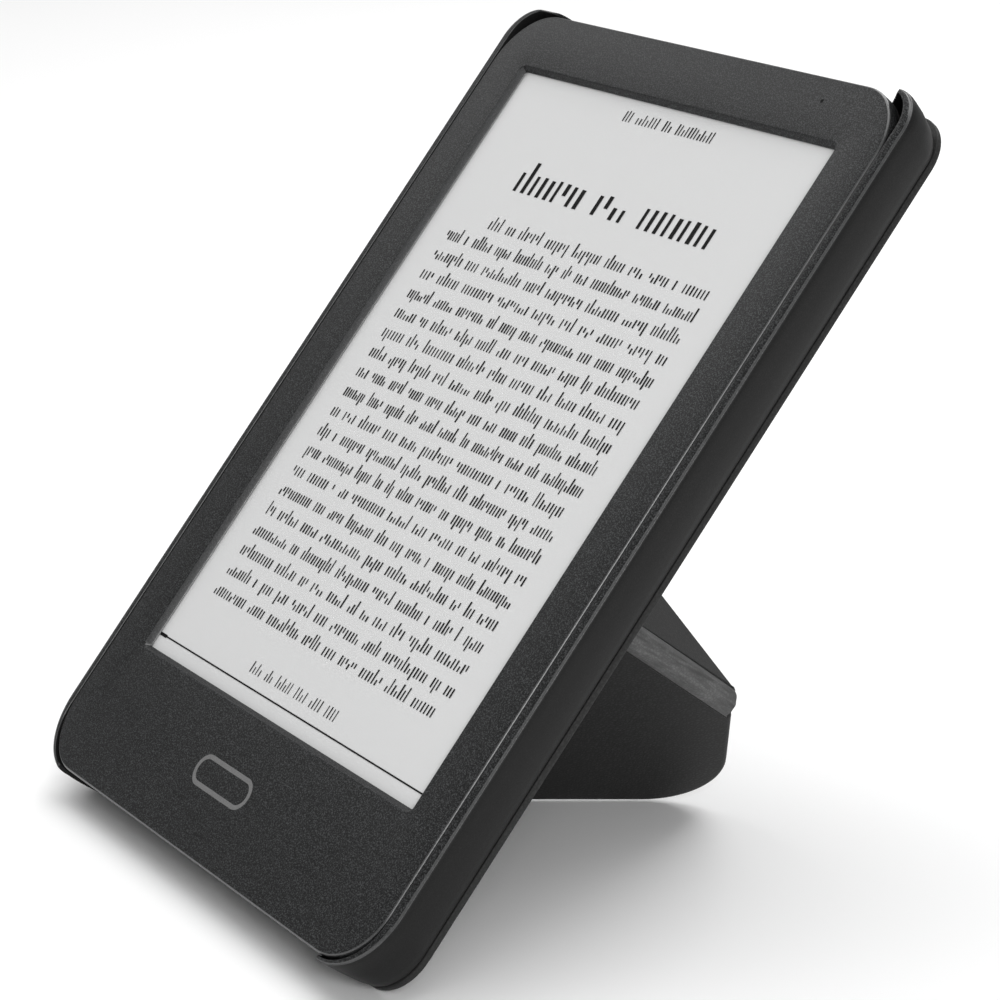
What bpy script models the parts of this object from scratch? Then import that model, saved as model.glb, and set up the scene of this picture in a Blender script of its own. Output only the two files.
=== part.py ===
# E-reader seated in a moulded tray case whose hinged cover folds up behind it
# as a stand.  The cover is one sheet of four stiff panels joined by creases:
# base, foot, ridge and flap, carried on a two-strip soft spine.
# Units: driving dimensions in millimetres, scene in metres, +Z up.
import bpy
import bmesh
import math
from mathutils import Matrix, Vector, Quaternion

MM = 0.001
GAP = 0.25                      # clearance between pieces that touch

# ---- standing pose -------------------------------------------------------
LEAN = math.radians(50.65)      # long axis above the horizontal
ORIGIN_X = -1.76                 # row origin in the device's centre frame, X
ORIGIN_Y = 6.39                 # same, along the ground
PLATE_BOTTOM = -80.0            # lower edge of the case's back plate
PLATE_BACK = -11.0              # rear face of the back plate

# ---- e-reader ------------------------------------------------------------
DEV_W, DEV_H, DEV_R = 112.0, 160.0, 11.0
DEV_BACK_W, DEV_BACK_H, DEV_BACK_R = 105.2, 153.2, 8.5
DEV_T = 8.0
SPLIT_Z = -2.8                  # bezel meets rear housing
WIN_W, WIN_H, WIN_Y = 91.3, 122.5, 7.25
WIN_DEPTH = 1.3
WALL = 1.3
BUTTON_X, BUTTON_Y, BUTTON_R = 38.0, -58.0, 4.6
USB_W, USB_T, USB_Z = 9.0, 3.2, -5.3

# ---- case ----------------------------------------------------------------
TRAY_W, TRAY_TOP, TRAY_BOT = 117.0, 80.85, -81.0
TRAY_R_TOP, TRAY_R_BOT = 6.8, 12.6
TRAY_FOOT_W = 112.8             # width at the foot of the wall
TRAY_FLOOR_Z, TRAY_FLOOR_T = -8.85, 0.65
RIM_IN_W, RIM_IN_H = 112.6, 160.6
RIM_R_TOP, RIM_R_BOT = 6.0, 10.3
PLATE_W, PLATE_TOP, PLATE_R = 112.6, 81.3, 8.2
PLATE_T = 1.25
PLATE_LEFT = -59.5              # spine side

# ---- cover ---------------------------------------------------------------
COVER_X = -56.5                 # left edge of the cover when folded behind
COVER_Y = -75.9                 # lower edge
COVER_W, COVER_H, COVER_R = 116.3, 157.0, 14.0
PANEL_T = 2.2
SKIN_T, BOARD_T, LIN_T = 0.45, 0.80, 0.45
AXIS_OFF = 0.15                 # creases lie this far under the inner face
FOOT_U0 = 14.2                 # where the long crease leaves the lower edge
RIDGE_V1 = 29.3                 # ridge crease meets the free edge
RIDGE_SLOPE = math.radians(50.5)
CREASE_GAP = 0.35               # each panel's edge stays this far off a crease
HINGE_TRIM = 4.8                # ridge panel's edge over the flap
APEX_CUT = 3.2                  # corners removed around the meeting point

# ---- spine ---------------------------------------------------------------
SPINE_T = 1.0
SPINE_LINK = 6.95
SPINE_AX = -61.0                # axis at the case's edge
SPINE_AZ = -11.15
SPINE_OFF = 1.45                # axis to the edge of plate or cover
SPINE_LOW, SPINE_HIGH = -73.8, 78.5

# ==========================================================================
for o in list(bpy.data.objects):
    bpy.data.objects.remove(o, do_unlink=True)
for m in list(bpy.data.meshes):
    bpy.data.meshes.remove(m)

parts = bpy.data.collections.new("e_reader_in_stand_case")
cutters = bpy.data.collections.new("cutters")
bpy.context.scene.collection.children.link(parts)
bpy.context.scene.collection.children.link(cutters)

MATS = {}


def material(name, rgb, rough=0.6, metal=0.0):
    if name not in MATS:
        m = bpy.data.materials.new(name)
        m.use_nodes = True
        b = m.node_tree.nodes["Principled BSDF"]
        b.inputs["Base Color"].default_value = (*rgb, 1.0)
        b.inputs["Roughness"].default_value = rough
        b.inputs["Metallic"].default_value = metal
        m.diffuse_color = (*rgb, 1.0)
        MATS[name] = m
    return MATS[name]


def empty(name, parent=None, loc=(0, 0, 0), quat=None):
    e = bpy.data.objects.new(name, None)
    parts.objects.link(e)
    e.parent = parent
    e.location = Vector(loc) * MM
    e.rotation_mode = 'QUATERNION'
    if quat is not None:
        e.rotation_quaternion = quat
    return e


def place(name, mesh, parent, mat, loc=(0, 0, 0)):
    o = bpy.data.objects.new(name, mesh)
    parts.objects.link(o)
    o.parent = parent
    o.location = Vector(loc) * MM
    if mat is not None:
        mesh.materials.clear()
        mesh.materials.append(mat)
    return o


def rrect(hx, hy, r, cx=0.0, cy=0.0, n=5):
    """Rounded rectangle outline, counter-clockwise, 4*(n+1) points."""
    out = []
    for k, (sx, sy) in enumerate(((1, 1), (-1, 1), (-1, -1), (1, -1))):
        for i in range(n + 1):
            a = math.pi / 2 * (k + i / n)
            out.append((cx + sx * (hx - r) + r * math.cos(a),
                        cy + sy * (hy - r) + r * math.sin(a)))
    return out


def circle(cx, cy, r, n=20):
    return [(cx + r * math.cos(2 * math.pi * i / n),
             cy + r * math.sin(2 * math.pi * i / n)) for i in range(n)]


def loft(name, rings, parent, mat, ring_loop=False, smooth=True, loc=(0, 0, 0)):
    """Skin through outlines [(points2d, z), ...]; capped, or closed on itself."""
    bm = bmesh.new()
    rows = []
    for pts, z in rings:
        zz = z if callable(z) else (lambda x, y, z=z: z)
        rows.append([bm.verts.new(((x) * MM, (y) * MM, zz(x, y) * MM)) for x, y in pts])
    n = len(rows[0])
    pairs = list(zip(rows[:-1], rows[1:]))
    if ring_loop:
        pairs.append((rows[-1], rows[0]))
    for a, b in pairs:
        for i in range(n):
            j = (i + 1) % n
            bm.faces.new((a[i], a[j], b[j], b[i]))
    if not ring_loop:
        bm.faces.new(list(reversed(rows[0])))
        bm.faces.new(rows[-1])
    bmesh.ops.recalc_face_normals(bm, faces=bm.faces)
    me = bpy.data.meshes.new(name)
    bm.to_mesh(me)
    bm.free()
    if smooth:
        me.shade_smooth()
        me.set_sharp_from_angle(angle=math.radians(35))
    return place(name, me, parent, mat, loc)


def slab_mesh(name, loops, z0, z1):
    """Flat outline with holes: a filled 2D curve extruded by half its thickness."""
    cu = bpy.data.curves.new(name + "_outline", 'CURVE')
    cu.dimensions = '2D'
    cu.fill_mode = 'BOTH'
    cu.extrude = abs(z1 - z0) / 2 * MM
    for pts in loops:
        sp = cu.splines.new('POLY')
        sp.points.add(len(pts) - 1)
        for p, (x, y) in zip(sp.points, pts):
            p.co = (x * MM, y * MM, 0, 1)
        sp.use_cyclic_u = True
    ob = bpy.data.objects.new(name + "_outline", cu)
    bpy.context.scene.collection.objects.link(ob)
    dg = bpy.context.evaluated_depsgraph_get()
    me = bpy.data.meshes.new_from_object(ob.evaluated_get(dg))
    bm = bmesh.new()
    bm.from_mesh(me)
    bmesh.ops.remove_doubles(bm, verts=bm.verts, dist=0.000005)
    bmesh.ops.translate(bm, verts=bm.verts, vec=(0, 0, (z0 + z1) / 2 * MM))
    bmesh.ops.recalc_face_normals(bm, faces=bm.faces)
    bm.to_mesh(me)
    bm.free()
    me.name = name
    bpy.data.objects.remove(ob, do_unlink=True)
    bpy.data.curves.remove(cu)
    return me


def slab(name, loops, z0, z1, parent, mat, loc=(0, 0, 0)):
    return place(name, slab_mesh(name, loops, z0, z1), parent, mat, loc)


def add_box(bm, cx, cy, z0, z1, sx, sy):
    g = bmesh.ops.create_cube(bm, size=1.0)
    bmesh.ops.scale(bm, verts=g["verts"], vec=(sx * MM, sy * MM, abs(z1 - z0) * MM))
    bmesh.ops.translate(bm, verts=g["verts"],
                        vec=(cx * MM, cy * MM, (z0 + z1) / 2 * MM))


def box(name, dims, parent, mat, bevel=0.0):
    """Box (cx, cy, z0, z1, sx, sy)."""
    bm = bmesh.new()
    add_box(bm, *dims)
    me = bpy.data.meshes.new(name)
    bm.to_mesh(me)
    bm.free()
    o = place(name, me, parent, mat)
    if bevel:
        b = o.modifiers.new("edge", 'BEVEL')
        b.width = bevel * MM
        b.segments = 2
    return o


def disc(name, dims, parent, mat, n=20):
    """Upright cylinder (cx, cy, z0, z1, r)."""
    bm = bmesh.new()
    cx, cy, z0, z1, r = dims
    bmesh.ops.create_cone(bm, cap_ends=True, segments=n, radius1=r * MM, radius2=r * MM,
                          depth=abs(z1 - z0) * MM,
                          matrix=Matrix.Translation((cx * MM, cy * MM, (z0 + z1) / 2 * MM)))
    me = bpy.data.meshes.new(name)
    bm.to_mesh(me)
    bm.free()
    me.shade_smooth()
    me.set_sharp_from_angle(angle=math.radians(35))
    return place(name, me, parent, mat)


def cutter(name, mesh, parent, loc=(0, 0, 0), quat=None):
    o = bpy.data.objects.new(name, mesh)
    cutters.objects.link(o)
    o.parent = parent
    o.location = Vector(loc) * MM
    if quat is not None:
        o.rotation_mode = 'QUATERNION'
        o.rotation_quaternion = quat
    o.hide_render = True
    o.display_type = 'WIRE'
    return o


def cut(target, tool, op='DIFFERENCE'):
    b = target.modifiers.new("cut_" + tool.name, 'BOOLEAN')
    b.operation = op
    b.solver = 'EXACT'
    b.object = tool


# ---- colours -------------------------------------------------------------
BEZEL = material("bezel_plastic", (0.045, 0.046, 0.048), 0.55)
HOUSING = material("housing_plastic", (0.035, 0.036, 0.038), 0.6)
PAGE = material("page_film", (0.72, 0.72, 0.72), 0.7)
CLEAR = material("clear_film", (0.8, 0.82, 0.84), 0.2)
STEEL = material("steel", (0.55, 0.56, 0.58), 0.35, 1.0)
BOARDG = material("circuit_board", (0.03, 0.12, 0.07), 0.5)
CHIP = material("chip_black", (0.02, 0.02, 0.022), 0.4)
CELL = material("battery_wrap", (0.30, 0.31, 0.33), 0.45)
FLEX = material("flex_amber", (0.35, 0.17, 0.04), 0.4)
FOAM = material("foam_black", (0.02, 0.02, 0.02), 0.9)
TRAYM = material("tray_plastic", (0.030, 0.031, 0.033), 0.5)
LEATH = material("cover_leather", (0.035, 0.036, 0.038), 0.6)
LINM = material("cover_microfibre", (0.05, 0.05, 0.055), 0.95)
CARD = material("stiff_board", (0.25, 0.24, 0.22), 0.8)
LAMP = material("light_pipe", (0.8, 0.85, 0.8), 0.2)

# ==========================================================================
# Frames.  The device frame has its origin at the centre of the front face,
# X across, Y up the long side, Z out of the screen.
ground = PLATE_BOTTOM * math.sin(LEAN) + PLATE_BACK * math.cos(LEAN)
frame = empty("device_frame", None, (-ORIGIN_X, -ORIGIN_Y, -ground),
              Quaternion((1, 0, 0), LEAN))


def dev_outline(z, off=0.0):
    """Outer outline of the e-reader at depth z, grown by off."""
    if z >= SPLIT_Z:
        w, h, r = DEV_W, DEV_H, DEV_R
    else:
        f = (SPLIT_Z - z) / (SPLIT_Z + DEV_T)
        w = DEV_W + (DEV_BACK_W - DEV_W) * f
        h = DEV_H + (DEV_BACK_H - DEV_H) * f
        r = DEV_R + (DEV_BACK_R - DEV_R) * f
    return rrect(w / 2 + off, h / 2 + off, max(r + off, 0.5))


# ---- front bezel: ring with a sloping window edge and a rear skirt --------
win = lambda off, r: rrect(WIN_W / 2 + off, WIN_H / 2 + off, r, 0, WIN_Y)
loft("front_bezel", [
    (dev_outline(0), SPLIT_Z + GAP),
    (dev_outline(0), -0.45),
    (dev_outline(0, -0.15), -0.12),
    (dev_outline(0, -0.45), 0.0),
    (win(0.75, 1.3), 0.0),
    (win(0.45, 1.0), -0.15),
    (win(0.0, 0.6), -WIN_DEPTH + GAP),
    (dev_outline(0, -2.0), -WIN_DEPTH + GAP),
    (dev_outline(0, -2.0), SPLIT_Z + GAP)], frame, BEZEL, ring_loop=True)

# ---- display stack --------------------------------------------------------
STACK_X, STACK_Y = 48.0, 63.6
z = -WIN_DEPTH


def sheet(name, z0, t, hx, hy, mat, r=1.0, cy=WIN_Y):
    return slab(name, [rrect(hx, hy, r, 0, cy, 3)], z0, z0 - t, frame, mat)


sheet("front_film", -1.30, 0.25, STACK_X, STACK_Y, PAGE)
sheet("touch_sensor", -1.80, 0.25, STACK_X, STACK_Y, CLEAR)
sheet("light_guide", -2.30, 0.45, STACK_X, STACK_Y - 1.2, CLEAR)
sheet("epaper_display", -3.00, 0.40, STACK_X, STACK_Y, PAGE)
box("frontlight_led_strip", (0, WIN_Y - STACK_Y, -2.30, -2.75, 88, 0.9), frame, LAMP)
slab("display_gasket", [rrect(49.5, 65.2, 2.2, 0, WIN_Y, 4),
                        rrect(48.4, 64.2, 1.4, 0, WIN_Y, 4)], -1.35, -3.40, frame, FOAM)

# ---- midframe and what it carries -----------------------------------------
SCREWS = [(sx * 51.6, y) for sx in (-1, 1) for y in (-58, 4, 66)]
slab("midframe", [rrect(53.1, 73.2, 9.0, 0, 3.8, 5), rrect(34, 33, 3, 0, -24, 3)]
     + [circle(x, y, 1.15, 12) for x, y in SCREWS], -3.70, -4.20, frame, STEEL)
box("battery_cell", (0, -24, -3.75, -6.60, 64, 62), frame, CELL, bevel=0.8)
box("battery_adhesive", (0, -24, -6.75, -6.95, 40, 52), frame, FOAM)
slab("main_board", [rrect(47, 21, 1.5, 0, 42, 3)], -5.45, -6.15, frame, BOARDG)
box("soc_shield", (-16, 44, -4.50, -5.20, 24, 22), frame, STEEL, bevel=0.2)
box("memory_chip", (12, 50, -4.55, -5.20, 12, 10), frame, CHIP)
box("power_chip", (30, 44, -4.60, -5.20, 7, 7), frame, CHIP)
box("wireless_antenna", (-38, 68.5, -4.50, -5.10, 18, 5.0), frame, FLEX)
box("hall_sensor", (43, 26.5, -4.60, -5.20, 3.0, 2.2), frame, CHIP)
box("display_flex", (-6, 66.2, -4.50, -4.65, 26, 4.4), frame, FLEX)
box("touch_flex", (26, 66.2, -4.50, -4.65, 10, 4.4), frame, FLEX)
box("battery_lead", (30, 14.2, -4.60, -5.20, 3.2, 12.4), frame, FLEX)
slab("power_daughterboard", [rrect(11, 8.0, 1.0, 36, -64.5, 3)], -4.50, -5.10, frame, BOARDG)
disc("power_switch", (BUTTON_X, BUTTON_Y, -5.30, -5.75, 2.2), frame, STEEL, 16)
for i, (x, y) in enumerate(SCREWS):
    disc("housing_screw_%d" % (i + 1), (x, y, -3.05, -3.45, 1.6), frame, STEEL, 12)

# ---- USB-C socket: flat tube, open at the lower edge ------------------------


def socket_ring(hx, hz, yy, n=4):
    pts = rrect(hx, hz, hz - 0.01, 0, USB_Z, n)
    return [(x, yy, zz) for x, zz in pts]


def socket(name, parent, mat):
    bm = bmesh.new()
    y_mouth, y_back = -77.9, -70.6
    rows = [[bm.verts.new(Vector(p) * MM) for p in socket_ring(hx, hz, yy)]
            for hx, hz, yy in ((USB_W / 2, USB_T / 2, y_back), (USB_W / 2, USB_T / 2, y_mouth),
                               (USB_W / 2 - 0.35, USB_T / 2 - 0.35, y_mouth),
                               (USB_W / 2 - 0.35, USB_T / 2 - 0.35, y_back - 0.6))]
    n = len(rows[0])
    for a, b in zip(rows[:-1], rows[1:]):
        for i in range(n):
            j = (i + 1) % n
            bm.faces.new((a[i], a[j], b[j], b[i]))
    bm.faces.new(rows[0])
    bm.faces.new(rows[-1])
    bmesh.ops.recalc_face_normals(bm, faces=bm.faces)
    me = bpy.data.meshes.new(name)
    bm.to_mesh(me)
    bm.free()
    return place(name, me, parent, mat)


socket("usb_c_port", frame, STEEL)
box("usb_c_tongue", (0, -73.8, USB_Z - 0.32, USB_Z + 0.32, 6.4, 4.6), frame, CHIP)

# ---- rear housing: tapered shell with a button hole and the port's mouth ----
FLOOR_Z = -DEV_T + 0.9
housing = loft("rear_housing", [
    (dev_outline(-DEV_T, -0.5), -DEV_T),
    (dev_outline(-DEV_T + 0.5, 0.0), -DEV_T + 0.5),
    (dev_outline(SPLIT_Z), SPLIT_Z),
    (dev_outline(SPLIT_Z, -WALL), SPLIT_Z),
    (dev_outline(FLOOR_Z, -WALL), FLOOR_Z)], frame, HOUSING)
tool = cutter("button_hole", slab_mesh("button_hole", [circle(BUTTON_X, BUTTON_Y, BUTTON_R + 0.3, 24)],
                                       -9.5, -6.5), frame)
cut(housing, tool)
tool = cutter("port_mouth", slab_mesh("port_mouth", [rrect(USB_W / 2 + 0.3, USB_T / 2 + 0.3,
                                                          USB_T / 2 + 0.29, 0, 0, 4)], 0, 9.0),
              frame, (0, -74.0, USB_Z), Quaternion((1, 0, 0), math.radians(90)))
cut(housing, tool)

# ---- power button: domed disc through the housing's back -------------------
button_axis = empty("power_button_axis", frame, (BUTTON_X, BUTTON_Y, -8.0))
loft("power_button", [(circle(0, 0, BUTTON_R - 0.5, 24), -0.35),
                      (circle(0, 0, BUTTON_R, 24), -0.05),
                      (circle(0, 0, BUTTON_R, 24), 1.35),
                      (circle(0, 0, 1.6, 24), 1.35),
                      (circle(0, 0, 1.6, 24), 1.65)], button_axis, BEZEL)

# ---- status light pipe in the bezel's upper right ---------------------------
disc("status_light_pipe", (40.5, 74.6, -1.35, -2.9, 0.8), frame, LAMP, 12)

# ==========================================================================
# Case: moulded tray, lining and the back plate it is bonded to.
def tall_rrect(hx, top, bot, r_top, r_bot, n=5):
    """Rounded rectangle with its own radius at the top and bottom corners."""
    out = []
    for k, (cx, cy, r) in enumerate(((hx - r_top, top - r_top, r_top), (-hx + r_top, top - r_top, r_top),
                                     (-hx + r_bot, bot + r_bot, r_bot), (hx - r_bot, bot + r_bot, r_bot))):
        for i in range(n + 1):
            a = math.pi / 2 * (k + i / n)
            out.append((cx + r * math.cos(a), cy + r * math.sin(a)))
    return out


def tray_out(off):
    return tall_rrect(TRAY_W / 2 + off, TRAY_TOP + off, TRAY_BOT - off,
                      TRAY_R_TOP + off * 0.6, TRAY_R_BOT + off)


def rim_in(off):
    return tall_rrect(RIM_IN_W / 2 + off, RIM_IN_H / 2 + off * 0.5, -RIM_IN_H / 2 - off * 0.5,
                      RIM_R_TOP + off, RIM_R_BOT + off)


shrink = (TRAY_FOOT_W - TRAY_W) / 2
FLOOR_BOT = TRAY_FLOOR_Z - TRAY_FLOOR_T
tray = loft("case_tray", [
    (tray_out(shrink), FLOOR_BOT),
    (tray_out(shrink * 0.62), -7.6),
    (tray_out(shrink * 0.22), -4.4),
    (tray_out(0.0), -1.6),
    (tray_out(0.0), -0.9),
    (tray_out(-0.15), -0.5),
    (tray_out(-0.45), -0.2),
    (rim_in(0.30), 0.0),
    (rim_in(0.08), -0.10),
    (rim_in(0.0), -0.35),
    (rim_in(0.0), SPLIT_Z),
    (dev_outline(-DEV_T, 0.35), -DEV_T),
    (dev_outline(-DEV_T, 0.35), TRAY_FLOOR_Z)], frame, TRAYM)


def gap_tool(name, y0, y1, x0, x1, slope0, slope1):
    """Opening in the tray's end wall: its sides may slope outwards."""
    bm = bmesh.new()
    zb, zt = TRAY_FLOOR_Z + 0.0, 4.0
    prof = [(x0, zb), (x1, zb), (x1 + slope1, zt), (x0 - slope0, zt)]
    lo = [bm.verts.new((x * MM, y0 * MM, zz * MM)) for x, zz in prof]
    hi = [bm.verts.new((x * MM, y1 * MM, zz * MM)) for x, zz in prof]
    for i in range(4):
        j = (i + 1) % 4
        bm.faces.new((lo[i], lo[j], hi[j], hi[i]))
    bm.faces.new(lo)
    bm.faces.new(hi)
    bmesh.ops.recalc_face_normals(bm, faces=bm.faces)
    me = bpy.data.meshes.new(name)
    bm.to_mesh(me)
    bm.free()
    return cutter(name, me, frame)


cut(tray, gap_tool("tray_gap_bottom", -90, -74.0, -41.8, 37.8, 10.3, 11.6))
cut(tray, gap_tool("tray_gap_top", 74.0, 92, -34.1, 41.4, 18.4, 15.4))
HOLE_R = 6.4
tool = cutter("tray_button_hole", slab_mesh("tray_button_hole", [circle(BUTTON_X, BUTTON_Y, HOLE_R, 24)],
                                            -12, -7), frame)
cut(tray, tool)
slab("tray_lining", [rrect(51.6, 75.6, 6.0, 0, 0, 4), circle(BUTTON_X, BUTTON_Y, HOLE_R + 0.4, 24)],
     -8.25, -8.60, frame, LINM)


def plate_outline():
    """Back plate: rounded on the free side, square where the spine joins."""
    hx = PLATE_W / 2
    out = []
    for k, (cx, cy, sx, sy) in enumerate(((hx, PLATE_TOP, 1, 1), (None,) * 4, (None,) * 4,
                                         (hx, PLATE_BOTTOM, 1, -1))):
        if cx is None:
            continue
        for i in range(6):
            a = math.pi / 2 * (k + i / 5)
            out.append((cx - PLATE_R + PLATE_R * math.cos(a),
                        cy - sy * PLATE_R + PLATE_R * math.sin(a)))
        if k == 0:
            for j in range(5):
                a = math.pi / 2 * (1 + j / 4)
                out.append((PLATE_LEFT + 4 + 4 * math.cos(a), PLATE_TOP - 4 + 4 * math.sin(a)))
            for j in range(5):
                a = math.pi / 2 * (2 + j / 4)
                out.append((PLATE_LEFT + 4 + 4 * math.cos(a), PLATE_BOTTOM + 4 + 4 * math.sin(a)))
    return out


slab("back_plate", [plate_outline(), circle(BUTTON_X, BUTTON_Y, HOLE_R, 24)],
     PLATE_BACK + PLATE_T, PLATE_BACK, frame, LEATH)

# ==========================================================================
# Cover.  Flat coordinates: u from the spine, v from the lower edge, w up
# from the crease plane towards the outer skin.
T = Vector


def fold_geometry():
    """Crease layout and fold angles that bring the foot's edge level."""
    yaw_up = math.tan(LEAN)
    # the foot's lower edge is level, so its direction e1 has no upward part
    # and makes the same angle with the long crease as in the flat sheet
    half = HEADING / 2
    gamma = math.atan(math.tan(half) / math.cos(LEAN))
    e1 = T((math.cos(HEADING), math.sin(HEADING) * math.cos(LEAN),
            -math.sin(HEADING) * math.sin(LEAN)))
    c3 = T((math.cos(gamma), math.sin(gamma), 0))
    m0 = T((math.sin(gamma), -math.cos(gamma), 0))
    e1_perp = e1 - c3 * e1.dot(c3)
    theta = math.atan2(-e1_perp.z, e1_perp.dot(m0))
    return gamma, theta, e1


HEADING = math.radians(58.17)   # foot edge, turned back from X on the ground
GAMMA, THETA, E1 = fold_geometry()
P0 = T((FOOT_U0, 0, 0))
tg, tb = math.tan(GAMMA), math.tan(RIDGE_SLOPE)
UV = (RIDGE_V1 + COVER_W * tb + FOOT_U0 * tg) / (tg + tb)
V = T((UV, (UV - FOOT_U0) * tg, 0))
C1 = T((COVER_W, RIDGE_V1, 0))
c3_axis = T((math.cos(GAMMA), math.sin(GAMMA), 0))
q3 = Quaternion(c3_axis, THETA)            # foot turns under the base


def folded_A(p):
    return P0 + q3 @ (p - P0)


def mirrored_D(delta):
    L = (COVER_W - UV) / math.cos(delta)
    return V + T((-L * math.cos(delta), L * math.sin(delta), 0)), V.y + L * math.sin(delta)


def mismatch(delta):
    e, v3 = mirrored_D(delta)
    return (e - folded_A(C1)).length - (v3 - RIDGE_V1)


lo, hi = math.radians(5), math.radians(70)
for _ in range(60):
    mid = (lo + hi) / 2
    if mismatch(lo) * mismatch(mid) <= 0:
        hi = mid
    else:
        lo = mid
DELTA = (lo + hi) / 2
E3_flat = T((COVER_W, V.y + (COVER_W - UV) * math.tan(DELTA), 0))
E3_fold = mirrored_D(DELTA)[0]

d1_axis = (C1 - V).normalized()            # along the ridge crease


def signed_angle(axis, a, b):
    a = (a - axis * a.dot(axis)).normalized()
    b = (b - axis * b.dot(axis)).normalized()
    return math.atan2(axis.dot(a.cross(b)), a.dot(b))


q3i = q3.inverted()
target = P0 + q3i @ (E3_fold - P0)         # where E3 must be, seen from the foot
PHI = signed_angle(d1_axis, E3_flat - V, target - V)
q1 = Quaternion(d1_axis, PHI)


def clip(poly, p, direction, off):
    """Keep the part of a convex outline at least off to the left of a line."""
    d = direction.normalized()
    nrm = T((-d.y, d.x, 0))
    side = lambda q: (T((q[0], q[1], 0)) - p).dot(nrm) - off
    out = []
    for i, a in enumerate(poly):
        b = poly[(i + 1) % len(poly)]
        sa, sb = side(a), side(b)
        if sa >= 0:
            out.append(a)
        if (sa >= 0) != (sb >= 0):
            f = sa / (sa - sb)
            out.append((a[0] + (b[0] - a[0]) * f, a[1] + (b[1] - a[1]) * f))
    return out


W, H, R = COVER_W, COVER_H, COVER_R
arc_br = [(W - R + R * math.sin(a), R - R * math.cos(a))
          for a in [math.pi / 2 * i / 8 for i in range(9)]]
arc_tr = [(W - R + R * math.cos(a), H - R + R * math.sin(a))
          for a in [math.pi / 2 * i / 8 for i in range(9)]]
sheet_outline = [(0.0, 0.0)] + arc_br + arc_tr + [(0.0, H)]
up = T((0, 1, 0))
d3_axis = (E3_flat - V).normalized()
apex = lambda direction: (V + direction.normalized() * APEX_CUT,
                          T((direction.normalized().y, -direction.normalized().x, 0)))


def panel_outline(which, grow=0.0):
    g = CREASE_GAP - grow
    p = sheet_outline
    if which == "base":
        p = clip(p, P0, c3_axis, g)
        p = clip(p, V, up, g)
        mid_dir = T((-math.cos((GAMMA - math.pi / 2) / 2), -math.sin((GAMMA - math.pi / 2) / 2), 0))
    elif which == "foot":
        p = clip(p, V, -c3_axis, g)
        p = clip(p, V, -(C1 - V), g) if False else clip(p, C1, V - C1, g)
        mid_dir = (-c3_axis + d1_axis)
    elif which == "ridge":
        p = clip(p, V, C1 - V, g)
        p = clip(p, E3_flat, V - E3_flat, HINGE_TRIM - grow)
        mid_dir = (d1_axis + d3_axis)
    else:
        p = clip(p, V, E3_flat - V, g)
        p = clip(p, T((UV, H, 0)), -up, g)
        mid_dir = (d3_axis + up)
    md = mid_dir.normalized()
    q = V + md * (APEX_CUT - grow)
    p = clip(p, q, T((md.y, -md.x, 0)), 0.0)
    return p


# spine: at rest the two strips hang as a narrow loop behind the edge
H1 = T((SPINE_AX, 0, SPINE_AZ))
H2 = T((COVER_X - SPINE_OFF, 0, SPINE_AZ))
half_base = (H2.x - H1.x) / 2
drop = math.sqrt(SPINE_LINK ** 2 - half_base ** 2)
HM = T(((H1.x + H2.x) / 2, 0, SPINE_AZ - drop))
tilt = math.atan2(half_base, drop)
turn_a = math.pi + tilt                    # strip a from upright, about -Y
turn_b = -tilt                             # strip b at rest, from upright
spine_a_e = empty("spine_axis_case", frame, H1, Quaternion((0, -1, 0), turn_a))
spine_b_e = empty("spine_axis_middle", spine_a_e, (0, 0, SPINE_LINK),
                  Quaternion((0, -1, 0), turn_b - turn_a))
cover_e = empty("spine_axis_cover", spine_b_e, (0, 0, SPINE_LINK),
                Quaternion((0, -1, 0), -turn_b))
strip = [(-0.15 - 0.0, SPINE_LOW), (0, 0)]


def spine_strip(name, parent, z0, z1):
    me = slab_mesh(name, [rrect((SPINE_T) / 2, (SPINE_HIGH - SPINE_LOW) / 2, 0.3,
                                0.15 + SPINE_T / 2, (SPINE_HIGH + SPINE_LOW) / 2, 2)], z0, z1)
    return place(name, me, parent, LEATH)


spine_strip("spine_strip_case", spine_a_e, 0.45, SPINE_LINK - 0.2)
spine_strip("spine_strip_cover", spine_b_e, 0.2, SPINE_LINK - 0.45)

# base frame: crease plane under the base panel; w up to the outer skin
AXIS_Z = SPINE_AZ - 0.15 - PANEL_T - AXIS_OFF
base_e = empty("base_plane", cover_e, (SPINE_OFF, COVER_Y, AXIS_Z - SPINE_AZ))
foot_e = empty("foot_crease_axis", base_e, P0, q3)
ridge_e = empty("ridge_crease_axis", foot_e, V - P0, q1)
flap_e = empty("flap_crease_axis", base_e, V, Quaternion((0, 1, 0), math.pi))

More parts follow.
